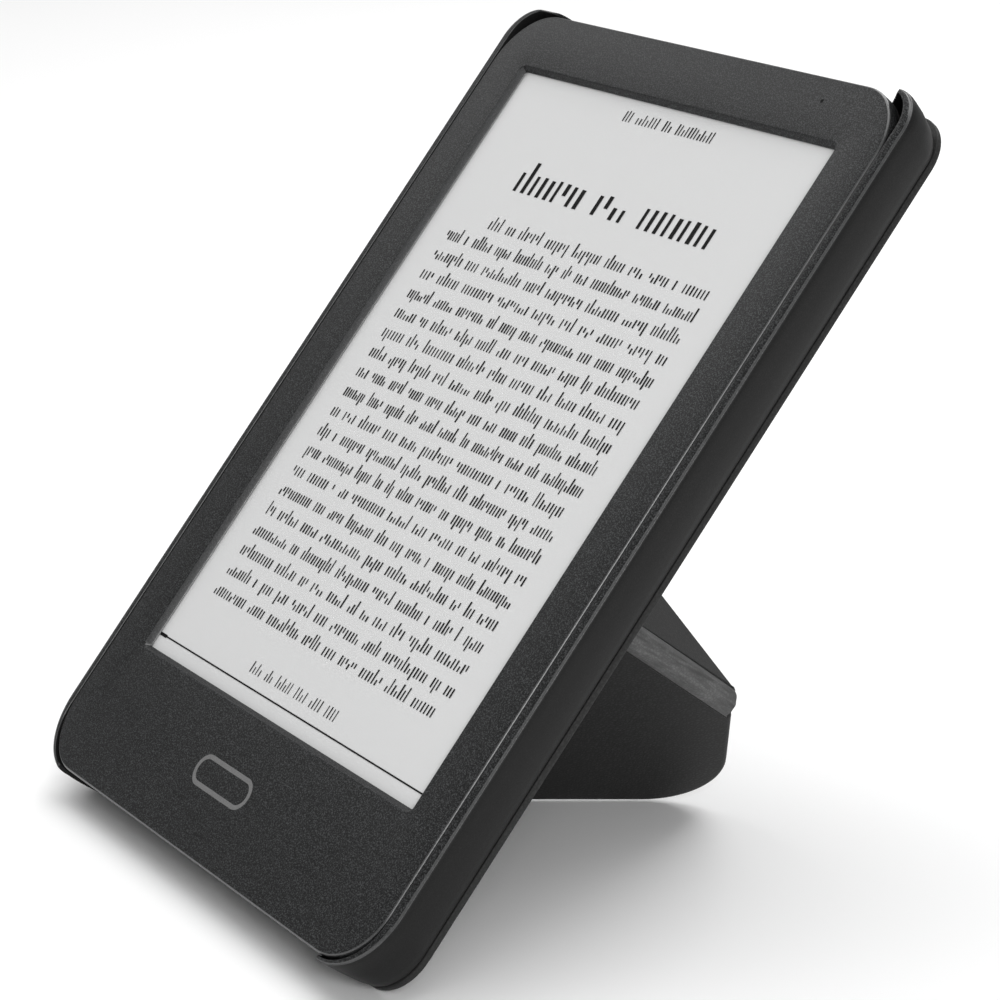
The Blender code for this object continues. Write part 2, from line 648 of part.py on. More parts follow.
LAYERS = (("lining", AXIS_OFF, LIN_T, LINM),
          ("board", AXIS_OFF + LIN_T + GAP, BOARD_T, CARD),
          ("skin", AXIS_OFF + LIN_T + GAP + BOARD_T + GAP, SKIN_T, LEATH))
MAGNETS = {"flap": (98, 128), "base": (68, 128), "foot": (86, 14), "ridge": None}
MAG_W, MAG_H = {"flap": 5, "base": 5, "foot": 22}, {"flap": 30, "base": 30, "foot": 5}
for which, e, org in (("base", base_e, T((0, 0, 0))), ("foot", foot_e, P0),
                      ("ridge", ridge_e, V), ("flap", flap_e, V)):
    full = [(x - org.x, y - org.y) for x, y in panel_outline(which)]
    for layer, w0, t, mat in LAYERS:
        loops = [full]
        if layer == "board":
            loops = [[(x - org.x, y - org.y) for x, y in panel_outline(which, -0.6)]]
            if MAGNETS[which]:
                mx, my = MAGNETS[which]
                loops.append(rrect(MAG_W[which] / 2 + GAP, MAG_H[which] / 2 + GAP, 0.8,
                                   mx - org.x, my - org.y, 2))
        slab(which + "_" + layer, loops, w0, w0 + t, e, mat)
    if MAGNETS[which]:
        mx, my = MAGNETS[which]
        w0 = AXIS_OFF + LIN_T + GAP
        slab(which + "_magnet", [rrect(MAG_W[which] / 2, MAG_H[which] / 2, 0.6,
                                       mx - org.x, my - org.y, 2)], w0, w0 + BOARD_T, e, STEEL)
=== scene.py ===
import math
import bpy
import bmesh
import numpy as np
from mathutils import Matrix, Vector, Quaternion


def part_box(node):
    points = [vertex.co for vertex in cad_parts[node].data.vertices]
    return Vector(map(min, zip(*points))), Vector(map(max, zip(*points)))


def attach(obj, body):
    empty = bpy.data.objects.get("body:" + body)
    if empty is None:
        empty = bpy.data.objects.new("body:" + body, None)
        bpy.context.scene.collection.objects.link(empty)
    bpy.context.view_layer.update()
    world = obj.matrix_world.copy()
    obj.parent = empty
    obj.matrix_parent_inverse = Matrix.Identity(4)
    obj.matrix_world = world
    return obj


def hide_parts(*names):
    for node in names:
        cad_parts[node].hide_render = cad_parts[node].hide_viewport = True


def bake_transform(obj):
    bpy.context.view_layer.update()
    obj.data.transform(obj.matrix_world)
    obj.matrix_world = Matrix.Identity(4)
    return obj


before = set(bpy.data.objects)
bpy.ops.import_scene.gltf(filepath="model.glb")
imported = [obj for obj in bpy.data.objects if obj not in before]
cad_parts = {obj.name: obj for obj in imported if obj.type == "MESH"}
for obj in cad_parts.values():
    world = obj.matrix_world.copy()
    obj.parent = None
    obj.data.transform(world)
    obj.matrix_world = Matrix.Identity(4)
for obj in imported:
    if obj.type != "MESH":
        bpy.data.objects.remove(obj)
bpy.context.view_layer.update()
MM = 0.001
V3 = Vector

# ---- the frame of the e-reader: X across, Y up its long side, Z out of the screen
LEAN = math.radians(50.65)
SPIN = Matrix.Rotation(LEAN, 4, 'X')
flo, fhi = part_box("front_film")
mid = (Vector(flo) + Vector(fhi)) / 2
DEV = Matrix.Translation(mid - (SPIN @ Vector((0, 7.25 * MM, -1.425 * MM)))) @ SPIN

# ==========================================================================
# Materials
SLOTS = {}


class Mat:
    def __init__(self, slot, name=None):
        self.m = bpy.data.materials.new(name or slot + "_finish")
        self.m.use_nodes = True
        self.t = self.m.node_tree
        self.b = next(n for n in self.t.nodes if n.type == 'BSDF_PRINCIPLED')
        self.tc = self.t.nodes.new("ShaderNodeTexCoord")
        self.h = None
        if name is None:
            SLOTS[slot] = self.m

    def set(self, **kw):
        for k, v in kw.items():
            self.b.inputs[k.replace("_", " ")].default_value = v
        return self

    # Object coordinates, scaled and turned
    def vec(self, scale=(1, 1, 1), rot=(0, 0, 0)):
        mp = self.t.nodes.new("ShaderNodeMapping")
        mp.inputs["Scale"].default_value = scale
        mp.inputs["Rotation"].default_value = rot
        self.t.links.new(self.tc.outputs["Object"], mp.inputs["Vector"])
        return mp.outputs["Vector"]

    def noise(self, scale, detail=2.0, rough=0.5, vec=None, distortion=0.0):
        n = self.t.nodes.new("ShaderNodeTexNoise")
        n.inputs["Scale"].default_value = scale
        n.inputs["Detail"].default_value = detail
        n.inputs["Roughness"].default_value = rough
        n.inputs["Distortion"].default_value = distortion
        self.t.links.new(vec or self.tc.outputs["Object"], n.inputs["Vector"])
        return n.outputs["Fac"]

    def cells(self, scale, feature='F1', vec=None, out="Distance"):
        n = self.t.nodes.new("ShaderNodeTexVoronoi")
        n.feature = feature
        n.inputs["Scale"].default_value = scale
        self.t.links.new(vec or self.tc.outputs["Object"], n.inputs["Vector"])
        return n.outputs[out]

    def wave(self, scale, vec=None, axis='X', distortion=0.0):
        n = self.t.nodes.new("ShaderNodeTexWave")
        n.bands_direction = axis
        n.inputs["Scale"].default_value = scale
        n.inputs["Distortion"].default_value = distortion
        self.t.links.new(vec or self.tc.outputs["Object"], n.inputs["Vector"])
        return n.outputs["Fac"]

    def ramp(self, fac, stops):
        n = self.t.nodes.new("ShaderNodeValToRGB")
        e = n.color_ramp.elements
        while len(e) < len(stops):
            e.new(0.5)
        for el, (p, c) in zip(e, stops):
            el.position = p
            el.color = (*c, 1.0) if hasattr(c, "__len__") else (c, c, c, 1.0)
        self.t.links.new(fac, n.inputs["Fac"])
        return n.outputs["Color"]

    def mix(self, a, b, fac, kind='MIX'):
        n = self.t.nodes.new("ShaderNodeMix")
        n.data_type = 'RGBA'
        n.blend_type = kind
        for sock, v in ((n.inputs[6], a), (n.inputs[7], b), (n.inputs[0], fac)):
            if hasattr(v, "is_output"):
                self.t.links.new(v, sock)
            else:
                sock.default_value = (*v, 1.0) if hasattr(v, "__len__") else v
        return n.outputs[2]

    def col(self, out):
        self.t.links.new(out, self.b.inputs["Base Color"])
        return self

    def rough(self, fac, lo, hi):
        n = self.t.nodes.new("ShaderNodeMapRange")
        n.inputs["To Min"].default_value = lo
        n.inputs["To Max"].default_value = hi
        self.t.links.new(fac, n.inputs["Value"])
        self.t.links.new(n.outputs["Result"], self.b.inputs["Roughness"])
        return self

    def bump(self, fac, dist, strength=1.0, invert=False):
        n = self.t.nodes.new("ShaderNodeBump")
        n.inputs["Distance"].default_value = dist
        n.inputs["Strength"].default_value = strength
        n.invert = invert
        self.t.links.new(fac, n.inputs["Height"])
        if self.h is not None:
            self.t.links.new(self.h, n.inputs["Normal"])
        self.h = n.outputs["Normal"]
        self.t.links.new(self.h, self.b.inputs["Normal"])
        return self


def g(v, warm=0.0):
    return (v * (1 + warm), v, v * (1 - warm))


# bezel: spark-textured dark plastic, fine light and dark grains
m = Mat("bezel_plastic").set(Specular_IOR_Level=0.17)
grain = m.noise(4200, 2.5, 0.6)
fine = m.noise(9000, 1.0, 0.5)
cloud = m.noise(35, 2.0, 0.5)
base = m.ramp(grain, [(0.37, g(0.002, -0.03)), (0.50, g(0.0095, -0.03)), (0.62, g(0.060, -0.03))])
m.col(m.mix(base, g(0.018, -0.03), m.ramp(cloud, [(0.3, 0.05), (0.7, 0.20)])))
m.rough(grain, 0.40, 0.62).bump(grain, 0.00006, 0.55).bump(fine, 0.00002, 0.35)

# the same plastic where edges are rounded and rubbed smooth; its lighter colour is a painted highlight where
# these edges catch the light
m = Mat("edge", "bezel_edge_polished_painted_highlight").set(Specular_IOR_Level=0.95)
grain = m.noise(5200, 2.0, 0.6)
m.col(m.ramp(grain, [(0.34, g(0.008, -0.03)), (0.52, g(0.022, -0.03)), (0.68, g(0.060, -0.03))]))
m.rough(grain, 0.26, 0.42).bump(grain, 0.00003, 0.5)
EDGE_PAINTED_HIGHLIGHT = m.m

# rear housing: finer, more even grain
m = Mat("housing_plastic").set(Specular_IOR_Level=0.35)
grain = m.noise(5200, 2.0, 0.5)
m.col(m.ramp(grain, [(0.3, g(0.010)), (0.7, g(0.022))]))
m.rough(m.noise(900), 0.45, 0.62).bump(grain, 0.00004, 0.5)

# tray: moulded plastic, satin wall with a faint grain
m = Mat("tray_plastic").set(Specular_IOR_Level=0.13)
grain = m.noise(4200, 2.0, 0.6)
cloud = m.noise(60, 3.0, 0.55)
m.col(m.mix(m.ramp(grain, [(0.3, g(0.007)), (0.55, g(0.011)), (0.8, g(0.022))]), g(0.012),
            m.ramp(cloud, [(0.3, 0.1), (0.7, 0.45)])))
m.rough(cloud, 0.36, 0.50).bump(grain, 0.00003, 0.45)

# page: matt front film over the e-paper, faint paper-like mottling
m = Mat("page_film").set(Specular_IOR_Level=0.25)
grain = m.noise(7000, 2.0, 0.6)
cloud = m.noise(50, 2.0, 0.5)
m.col(m.mix(m.ramp(grain, [(0.3, (0.625, 0.628, 0.628)), (0.7, (0.662, 0.664, 0.663))]), (0.648, 0.650, 0.650),
            m.ramp(cloud, [(0.35, 0.2), (0.65, 0.6)])))
m.rough(grain, 0.66, 0.80).bump(grain, 0.00001, 0.3)

# clear sheets
m = Mat("clear_film").set(Specular_IOR_Level=0.5, Transmission_Weight=0.85, IOR=1.49)
m.col(m.ramp(m.noise(400, 2), [(0.3, (0.86, 0.89, 0.90)), (0.7, (0.93, 0.95, 0.95))]))
m.rough(m.noise(1500), 0.10, 0.22).bump(m.cells(2600), 0.00001, 0.3)

# bright metal, lightly brushed
m = Mat("steel").set(Metallic=1.0)
lines = m.noise(700, 4.0, 0.7, m.vec((0.15, 6.0, 6.0)))
m.col(m.ramp(lines, [(0.25, g(0.40)), (0.5, g(0.56)), (0.75, g(0.68))]))
m.rough(lines, 0.24, 0.44).bump(lines, 0.00002, 0.35)

# circuit board: green mask with copper tracks and tinned pads showing through
m = Mat("circuit_board").set(Specular_IOR_Level=0.5, Coat_Weight=0.25, Coat_Roughness=0.2)
mask = m.ramp(m.noise(900, 2), [(0.3, (0.010, 0.055, 0.028)), (0.7, (0.020, 0.095, 0.045))])
tracks = m.ramp(m.cells(420, 'DISTANCE_TO_EDGE'), [(0.02, 1.0), (0.06, 0.0)])
pads = m.ramp(m.cells(650), [(0.10, 1.0), (0.16, 0.0)])
c = m.mix(mask, (0.05, 0.20, 0.09), tracks)
m.col(m.mix(c, (0.62, 0.58, 0.44), pads))
m.rough(m.noise(1200), 0.28, 0.45).bump(tracks, 0.00003, 0.6).bump(pads, 0.00004, 0.5)

# moulded chip
m = Mat("chip_black").set(Specular_IOR_Level=0.4)
grain = m.noise(6000, 2)
m.col(m.ramp(grain, [(0.3, g(0.009)), (0.7, g(0.022))]))
m.rough(grain, 0.38, 0.55).bump(grain, 0.00002, 0.5)

# pouch cell: crinkled foil laminate
m = Mat("battery_wrap").set(Metallic=0.75)
crinkle = m.noise(260, 4.0, 0.6, distortion=1.2)
m.col(m.ramp(crinkle, [(0.3, (0.30, 0.31, 0.33)), (0.7, (0.44, 0.45, 0.47))]))
m.rough(crinkle, 0.28, 0.46).bump(crinkle, 0.00008, 0.5)

# polyimide flex
m = Mat("flex_amber").set(Specular_IOR_Level=0.5)
lines = m.wave(900, m.vec((1, 1, 1)), 'X')
m.col(m.ramp(lines, [(0.25, (0.30, 0.13, 0.025)), (0.6, (0.50, 0.26, 0.06))]))
m.rough(m.noise(500), 0.24, 0.38).bump(lines, 0.00002, 0.6)

# foam and gasket
m = Mat("foam_black").set(Specular_IOR_Level=0.15)
pores = m.cells(3200)
m.col(m.ramp(pores, [(0.1, g(0.006)), (0.6, g(0.022))]))
m.rough(pores, 0.80, 0.95).bump(pores, 0.00006, 0.8)

# cover skin: fine pebbled leather grain with soft colour variation
m = Mat("cover_leather").set(Specular_IOR_Level=0.17)
bend = m.vec((1, 1, 1))
pebble = m.cells(1500, 'DISTANCE_TO_EDGE')
warp = m.noise(2600, 3.0, 0.6)
cloud = m.noise(45, 3.0, 0.6)
c = m.ramp(pebble, [(0.0, g(0.0135)), (0.25, g(0.0255)), (0.7, g(0.034))])
m.col(m.mix(c, g(0.024, 0.01), m.ramp(cloud, [(0.3, 0.15), (0.7, 0.55)])))
m.rough(cloud, 0.44, 0.58).bump(pebble, 0.00006, 0.5).bump(warp, 0.00004, 0.4)

# the same leather where it folds, with lengthwise creases; its paler colour, lightest along the creases, is a
# painted highlight where the fold band faces the light
m = Mat("crease", "cover_leather_crease").set(Specular_IOR_Level=0.42)
pebble = m.cells(1500, 'DISTANCE_TO_EDGE')
along = m.vec()
CREASE_MAP = along.node
wrinkle = m.noise(1500, 3.0, 0.6, along, distortion=0.3)
c = m.ramp(wrinkle, [(0.30, g(0.040)), (0.50, g(0.082)), (0.72, g(0.140))])
m.col(m.mix(c, g(0.040), m.ramp(pebble, [(0.0, 0.6), (0.2, 0.12)])))
m.rough(wrinkle, 0.36, 0.52).bump(wrinkle, 0.00010, 0.6).bump(pebble, 0.00005, 0.5)
CREASE_PAINTED_HIGHLIGHT = m.m

# lining: brushed microfibre
m = Mat("cover_microfibre").set(Specular_IOR_Level=0.1, Sheen_Weight=0.18, Sheen_Roughness=0.5)
m.b.inputs["Sheen Tint"].default_value = (0.50, 0.50, 0.51, 1)
nap = m.noise(2400, 4.0, 0.75, m.vec((1.0, 2.2, 1.0), (0, 0, 0.4)))
fuzz = m.noise(9000, 2.0, 0.6)
hand = m.noise(38, 3.0, 0.6)
c = m.ramp(nap, [(0.3, (0.018, 0.018, 0.019)), (0.7, (0.042, 0.042, 0.044))])
m.col(m.mix(c, (0.046, 0.046, 0.048), m.ramp(hand, [(0.4, 0.1), (0.65, 0.5)])))
m.rough(nap, 0.86, 0.98).bump(nap, 0.00008, 0.6).bump(fuzz, 0.00003, 0.5)

# grey stiffening board: pressed fibres
m = Mat("stiff_board").set(Specular_IOR_Level=0.2)
fib = m.noise(1500, 5.0, 0.7, m.vec((0.4, 3.0, 1.0)))
m.col(m.ramp(fib, [(0.3, (0.20, 0.185, 0.16)), (0.7, (0.34, 0.32, 0.28))]))
m.rough(fib, 0.75, 0.92).bump(fib, 0.00005, 0.6)

# light pipe and diffuser
m = Mat("light_pipe").set(Specular_IOR_Level=0.5, Transmission_Weight=0.5, IOR=1.49)
m.col(m.ramp(m.noise(1800, 2), [(0.3, (0.74, 0.78, 0.76)), (0.7, (0.88, 0.91, 0.89))]))
m.rough(m.noise(2500), 0.22, 0.36).bump(m.noise(5000), 0.00002, 0.4)

# ink of the page, and the printed marks on the bezel
m = Mat("ink", "page_ink").set(Specular_IOR_Level=0.0)
grain = m.noise(8000, 2.0, 0.6)
m.col(m.ramp(grain, [(0.3, g(0.010)), (0.7, g(0.030))]))
m.rough(grain, 0.90, 1.0)
INK = m.m
m = Mat("mark", "printed_mark").set(Specular_IOR_Level=0.3)
grain = m.noise(5000, 2.0, 0.6)
m.col(m.ramp(grain, [(0.3, g(0.115)), (0.7, g(0.19))]))
m.rough(grain, 0.48, 0.62).bump(grain, 0.00003, 0.4)
MARK = m.m
# status pinhole: a flat near-black disc whose colour is painted shade, standing in for the shaded inside of the
# hole
m = Mat("pit", "pinhole_painted_shade").set(Specular_IOR_Level=0.1)
m.col(m.ramp(m.noise(9000, 1), [(0.3, g(0.002)), (0.7, g(0.005))]))
m.rough(m.noise(9000, 1), 0.75, 0.9)
PINHOLE_PAINTED_SHADE = m.m

for name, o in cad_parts.items():
    slot = o.data.materials[0].name.split(".")[0] if o.data.materials and o.data.materials[0] else ""
    slot = slot if slot in SLOTS else "housing_plastic"
    o.data.materials.clear()
    o.data.materials.append(SLOTS[slot])
    o["scene_slot"] = slot

# ==========================================================================
# Mesh helpers, in millimetres inside a frame M


def finish_mesh(name, bm, slot, body, mat=None, replaces=(), sharp=35, smooth=True):
    bmesh.ops.recalc_face_normals(bm, faces=bm.faces)
    me = bpy.data.meshes.new(name)
    bm.to_mesh(me)
    bm.free()
    if smooth:
        me.shade_smooth()
        me.set_sharp_from_angle(angle=math.radians(sharp))
    o = bpy.data.objects.new(name, me)
    bpy.context.scene.collection.objects.link(o)
    me.materials.append(mat or SLOTS[slot])
    if body:
        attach(o, body)
    if replaces:
        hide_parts(*replaces)
    return o


def loft_bm(rings, M, loop=False):
    bm = bmesh.new()
    rows = [[bm.verts.new(M @ (Vector((x, y, z)) * MM)) for x, y in pts] for pts, z in rings]
    n = len(rows[0])
    pairs = list(zip(rows[:-1], rows[1:])) + ([(rows[-1], rows[0])] if loop else [])
    for a, b in pairs:
        for i in range(n):
            j = (i + 1) % n
            bm.faces.new((a[i], a[j], b[j], b[i]))
    if not loop:
        bm.faces.new(list(reversed(rows[0])))
        bm.faces.new(rows[-1])
    return bm


def rrect(hx, hy, r, cx=0.0, cy=0.0, n=20):
    out = []
    for k, (sx, sy) in enumerate(((1, 1), (-1, 1), (-1, -1), (1, -1))):
        for i in range(n + 1):
            a = math.pi / 2 * (k + i / n)
            out.append((cx + sx * (hx - r) + r * math.cos(a), cy + sy * (hy - r) + r * math.sin(a)))
    return out


def circle(cx, cy, r, n=48):
    return [(cx + r * math.cos(2 * math.pi * i / n), cy + r * math.sin(2 * math.pi * i / n)) for i in range(n)]


def prism(name, loop3, shift, M):
    """A temporary solid: a closed loop of points swept by shift."""
    bm = bmesh.new()
    a = [bm.verts.new(M @ (Vector(p) * MM)) for p in loop3]
    b = [bm.verts.new(M @ ((Vector(p) + Vector(shift)) * MM)) for p in loop3]
    n = len(a)
    for i in range(n):
        j = (i + 1) % n
        bm.faces.new((a[i], a[j], b[j], b[i]))
    bm.faces.new(a)
    bm.faces.new(b)
    bmesh.ops.recalc_face_normals(bm, faces=bm.faces)
    me = bpy.data.meshes.new(name)
    bm.to_mesh(me)
    bm.free()
    o = bpy.data.objects.new(name, me)
    bpy.context.scene.collection.objects.link(o)
    return o


def carve(bm, tools, sharp=35):
    """Takes the tools away from the bmesh and gives a new bmesh."""
    bmesh.ops.recalc_face_normals(bm, faces=bm.faces)
    me = bpy.data.meshes.new("carve")
    bm.to_mesh(me)
    bm.free()
    o = bpy.data.objects.new("carve", me)
    bpy.context.scene.collection.objects.link(o)
    for t in tools:
        b = o.modifiers.new("b", 'BOOLEAN')
        b.operation = 'DIFFERENCE'
        b.solver = 'EXACT'
        b.object = t
    dg = bpy.context.evaluated_depsgraph_get()
    out = bmesh.new()
    out.from_mesh(o.evaluated_get(dg).to_mesh())
    for t in tools + [o]:
        d = t.data
        bpy.data.objects.remove(t, do_unlink=True)
        bpy.data.meshes.remove(d)
    return out


# ==========================================================================
# E-reader
DEV_T, SPLIT, WIN_Y = 8.0, -2.8, 7.25


def dev(z, off=0.0):
    if z >= SPLIT:
        w, h, r = 112.0, 160.0, 11.0
    else:
        f = (SPLIT - z) / (SPLIT + DEV_T)
        w, h, r = 112.0 - 6.8 * f, 160.0 - 6.8 * f, 11.0 - 2.5 * f
    return rrect(w / 2 + off, h / 2 + off, max(r + off, 0.5))


win = lambda off, r: rrect(91.3 / 2 + off, 122.5 / 2 + off, r, 0, WIN_Y)
finish_mesh("bezel_shell", loft_bm([
    (dev(0, -0.06), -2.55), (dev(0), -2.45), (dev(0), -0.52), (dev(0, -0.03), -0.36), (dev(0, -0.10), -0.22),
    (dev(0, -0.20), -0.11), (dev(0, -0.33), -0.035), (dev(0, -0.50), 0.0),
    (win(0.95, 1.5), 0.0), (win(0.82, 1.35), -0.03), (win(0.70, 1.25), -0.11),
    (win(0.09, 0.70), -0.93), (win(0.02, 0.62), -1.0), (win(0.0, 0.6), -1.05),
    (dev(0, -2.0), -1.05), (dev(0, -2.0), -2.55)], DEV, loop=True),
    "bezel_plastic", "case", replaces=("front_bezel",), sharp=50)
UNDEV = DEV.inverted()
ZAX = DEV.to_3x3() @ Vector((0, 0, 1))
bez_o = bpy.data.objects["bezel_shell"]
# the rounded outer edge and the side bevels of the window get the lighter edge finish: a painted highlight where
# they catch the light
bez_o.data.materials.append(EDGE_PAINTED_HIGHLIGHT)
for poly in bez_o.data.polygons:
    c_ = UNDEV @ poly.center / MM
    inner = abs(c_.x) < 47 and -55.5 < c_.y < 70
    if -1.03 < c_.z < -0.008 and 0.15 < poly.normal.dot(ZAX) < 0.97 and not (inner and abs(poly.normal.x) < 0.5):
        poly.material_index = 1

tools = [prism("t1", [(x, y, -9.5) for x, y in circle(38, -58, 4.9)], (0, 0, 3), DEV),
         prism("t2", [(x, -74, z) for x, z in rrect(4.8, 1.9, 1.89, 0, -5.3, 10)], (0, -9, 0), DEV)]
bm = loft_bm([(dev(-8, -0.9), -8.0), (dev(-8, -0.5), -7.94), (dev(-7.9, -0.2), -7.78), (dev(-7.5, 0.0), -7.4),
              (dev(-3.2), -3.2), (dev(-2.8, -0.05), -2.88), (dev(-2.8, -0.12), -2.8), (dev(-2.8, -1.3), -2.8),
              (dev(-7.1, -1.3), -7.1)], DEV)
finish_mesh("housing_shell", carve(bm, tools), "housing_plastic", "case", replaces=("rear_housing",))

bm = loft_bm([(circle(0, 0, 3.0), -0.16), (circle(0, 0, 3.6), -0.24), (circle(0, 0, 4.05), -0.345),
              (circle(0, 0, 4.35), -0.28), (circle(0, 0, 4.54), -0.12), (circle(0, 0, 4.6), 0.08),
              (circle(0, 0, 4.6), 1.35), (circle(0, 0, 1.6), 1.35), (circle(0, 0, 1.6), 1.65)],
             DEV @ Matrix.Translation(Vector((38, -58, -8)) * MM))
finish_mesh("power_button_cap", bm, "bezel_plastic", "button", replaces=("power_button",))

# ---- page: abstract marks laid out like a page of print -----------------------
rng = np.random.default_rng(11)


def quads(name, rects, z, mat, body="case", M=DEV, slant=0.0):
    bm = bmesh.new()
    for x0, y0, x1, y1 in rects:
        vs = [bm.verts.new(M @ (Vector((x + slant * 0, y, z)) * MM))
              for x, y in ((x0, y0), (x1, y0), (x1, y1), (x0, y1))]
        bm.faces.new(vs)
    return finish_mesh(name, bm, "", body, mat=mat, smooth=False)


def words(x0, x1, y, size, stroke, mean=4.6, caps=False, pitch=0.39):
    """Upright strokes of uneven height, in groups, standing in for a justified line."""
    step = size * pitch
    counts, total = [], 0.0
    while total < (x1 - x0) - size * 1.3:
        n = int(np.clip(rng.poisson(mean), 1, 10))
        counts.append(n)
        total += n * step + size * 0.34
    space = size * 0.40
    scale = ((x1 - x0) - space * (len(counts) - 1)) / (sum(counts) * step)
    xh = size * (0.70 if caps else 0.50)
    out, x = [], x0
    for n in counts:
        ticks = max(1, round(1.45 * n))
        p = n * step * scale / ticks
        for k in range(ticks):
            hi, lo = xh * rng.uniform(0.92, 1.04), 0.0
            r = rng.random()
            if not caps and r < 0.10:
                hi = size * 0.76
            elif not caps and r < 0.15:
                lo = -size * 0.22
            elif r < 0.28:
                hi = xh * 0.58
            elif r < 0.36:
                lo = xh * 0.42
            s_ = stroke * rng.uniform(0.72, 1.12)
            out.append((x + k * p, y + lo, x + k * p + min(s_, p * 0.72), y + hi))
        x += n * step * scale + space
    return out


PAGE_Z = -1.24
body_lines = []
for i in range(20):
    y = 38.3 - i * 4.145
    x0 = -28.2 if i == 0 else -38.3
    x1 = 37.9 if i not in (10, 19) else 36.4
    body_lines += words(x0, x1, y, 3.45, 0.42)
quads("page_text_marks", body_lines, PAGE_Z, INK)
quads("page_heading_marks", words(-28.2, 31.2, 46.4, 8.2, 1.05, mean=5.4, pitch=0.34), PAGE_Z, INK)
quads("page_header_marks", words(-11.0, 15.4, 64.2, 3.0, 0.36, mean=3.4, caps=True), PAGE_Z, INK)
quads("page_footer_marks", words(-15.0, 14.6, -48.9, 3.0, 0.30, mean=3.4, caps=True), PAGE_Z, INK)
quads("page_progress_rule", [(-45.62, -51.33, 45.62, -51.05), (-45.62, -51.5, -43.2, -50.88)], PAGE_Z, INK)

# ---- neutral printed mark and the status pinhole ---------------------------------


def flat_ring(name, outer, inner, z, mat, body, M=DEV, lift=0.0):
    bm = bmesh.new()
    a = [bm.verts.new(M @ (Vector((x, y, z)) * MM)) for x, y in outer]
    b = [bm.verts.new(M @ (Vector((x, y, z + lift)) * MM)) for x, y in inner]
    n = len(a)
    for i in range(n):
        bm.faces.new((a[i], a[(i + 1) % n], b[(i + 1) % n], b[i]))
    return finish_mesh(name, bm, "", body, mat=mat, smooth=False)


flat_ring("neutral_mark_ring", rrect(9.2, 2.9, 2.89, -1.7, -66.7, 12), rrect(8.35, 2.05, 2.04, -1.7, -66.7, 12),
          0.012, MARK, "case")
# the status pinhole is a flat disc; its darkness is painted shade, not a real hole
bm = bmesh.new()
bm.faces.new([bm.verts.new(DEV @ (Vector((x, y, 0.012)) * MM)) for x, y in circle(36.64, 75.62, 0.36, 24)])
finish_mesh("status_pinhole", bm, "", "case", mat=PINHOLE_PAINTED_SHADE, smooth=False)

# ==========================================================================
# Case: tray, back plate


def tall(hx, top, bot, r_top, r_bot, n=24):
    out = []
    for k, (cx, cy, r) in enumerate(((hx - r_top, top - r_top, r_top), (-hx + r_top, top - r_top, r_top),
                                     (-hx + r_bot, bot + r_bot, r_bot), (hx - r_bot, bot + r_bot, r_bot))):
        for i in range(n + 1):
            a = math.pi / 2 * (k + i / n)
            out.append((cx + r * math.cos(a), cy + r * math.sin(a)))
    return out


def tray_out(off):
    return tall(58.5 + off, 80.85 + off, -81.0 - off, 6.8 + off * 0.6, 12.6 + off)


def rim_in(off):
    return tall(56.3 + off, 80.3 + off * 0.5, -80.3 - off * 0.5, 6.0 + off, 10.3 + off)


def tray_low(off, r_bot):
    return tall(58.5 + off, 80.85 + off, -81.0 - off * 0.45, 6.8 + off * 0.6, r_bot)


def rim_mix(f):
    """Outline a share f of the way across the rim, from its outer edge to the opening."""
    return [(p[0] + (q[0] - p[0]) * f, p[1] + (q[1] - p[1]) * f) for p, q in zip(tray_out(0.0), rim_in(0.0))]


def back_ring(off, n=24):
    return rrect(52.6 + off, 76.6 + off, 8.5 + off, 0, 0, n)


tray_rings = [
    (tray_low(-2.50, 8.4), -9.5), (tray_low(-2.22, 8.6), -9.44), (tray_low(-2.06, 8.7), -9.25),
    (tray_low(-1.30, 9.9), -7.6), (tray_low(-0.46, 11.6), -4.4), (tray_out(-0.10), -2.2), (tray_out(0.0), -1.5), (tray_out(0.0), -1.0),
    *[(rim_mix(f), z) for f, z in ((0.02, -0.74), (0.07, -0.52), (0.13, -0.43), (0.17, -0.50), (0.21, -0.43),
                                   (0.27, -0.28), (0.35, -0.185), (0.74, -0.03), (0.83, 0.0), (0.92, -0.03),
                                   (0.98, -0.16), (1.0, -0.35))],
    (rim_in(0.0), -2.8), (back_ring(0.35), -8.0), (back_ring(0.35), -8.85)]


def gap_prism(name, y0, dy, x0, x1, s0, s1):
    """Opening whose sides lean outwards and flare round at the rim."""
    zb, zt = -8.85, 4.0
    run = zt - zb
    left = lambda z: x0 - s0 * (z - zb) / run
    right = lambda z: x1 + s1 * (z - zb) / run
    r = 0.9
    pl = [(left(z) - r * (1 - math.sqrt(max(0.0, 1 - t * t))), z) for t, z in
          ((t, -1.1 + 1.15 * t) for t in (0.0, 0.25, 0.5, 0.7, 0.85, 0.95, 1.0))]
    pr = [(right(z) + r * (1 - math.sqrt(max(0.0, 1 - t * t))), z) for t, z in
          ((t, -1.1 + 1.15 * t) for t in (0.0, 0.25, 0.5, 0.7, 0.85, 0.95, 1.0))]
    prof = [(x0, zb), (x1, zb)] + pr + [(pr[-1][0], zt), (pl[-1][0], zt)] + pl[::-1]
    return prism(name, [(x, y0, z) for x, z in prof], (0, dy, 0), DEV)


hole = lambda r: prism("hole", [(x, y, -12.5) for x, y in circle(38, -58, r)], (0, 0, 6), DEV)
tray_bm = carve(loft_bm(tray_rings, DEV), [gap_prism("g1", -90, 16, -41.8, 37.8, 10.3, 11.6),
                                           gap_prism("g2", 74, 18, -34.1, 41.4, 18.4, 15.4), hole(6.4)])
finish_mesh("tray_shell", tray_bm, "tray_plastic", "case", replaces=("case_tray",), sharp=38)
tray_o = bpy.data.objects["tray_shell"]
tray_o.data.materials.append(SLOTS["bezel_plastic"])
tray_o.data.materials.append(EDGE_PAINTED_HIGHLIGHT)
